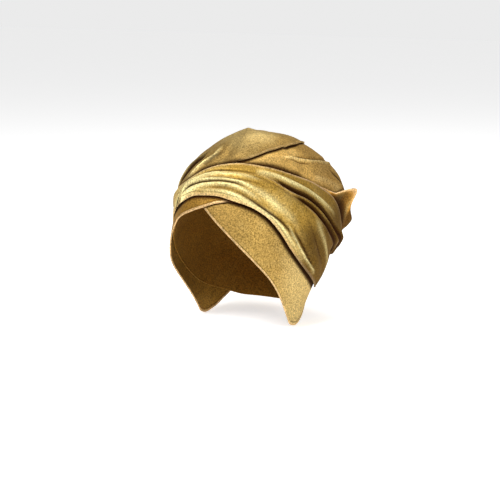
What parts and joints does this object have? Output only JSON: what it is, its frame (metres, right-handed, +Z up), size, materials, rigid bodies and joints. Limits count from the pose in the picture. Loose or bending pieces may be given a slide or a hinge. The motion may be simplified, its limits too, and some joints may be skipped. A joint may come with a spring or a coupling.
{
  "type": "head wrap",
  "caption": "Soft velvet head wrap: crossed panels frame the face, gathered windings run round the head to a tucked tail, and a draped crown covers the top.",
  "frame": {"origin": "Where the top of the wearer's head touches the inside of the cap", "axes": "-Y out of the face opening, +X to the wearer's left, +Z up"},
  "size_m": [0.1768, 0.2156, 0.212],
  "materials": {
    "cap_velvet": "matte",
    "panel_velvet": "matte",
    "crossed_velvet": "matte",
    "winding_velvet": "matte",
    "upper_velvet": "matte",
    "crown_velvet": "matte",
    "tail_velvet": "matte"
  },
  "bodies": {
    "root": {"cap": "cap_velvet", "front_panel_left": "panel_velvet", "front_panel_right": "crossed_velvet", "lower_winding": "winding_velvet", "upper_winding": "upper_velvet", "crown_drape": "crown_velvet", "tail_end": "tail_velvet"}
  },
  "joints": []
}
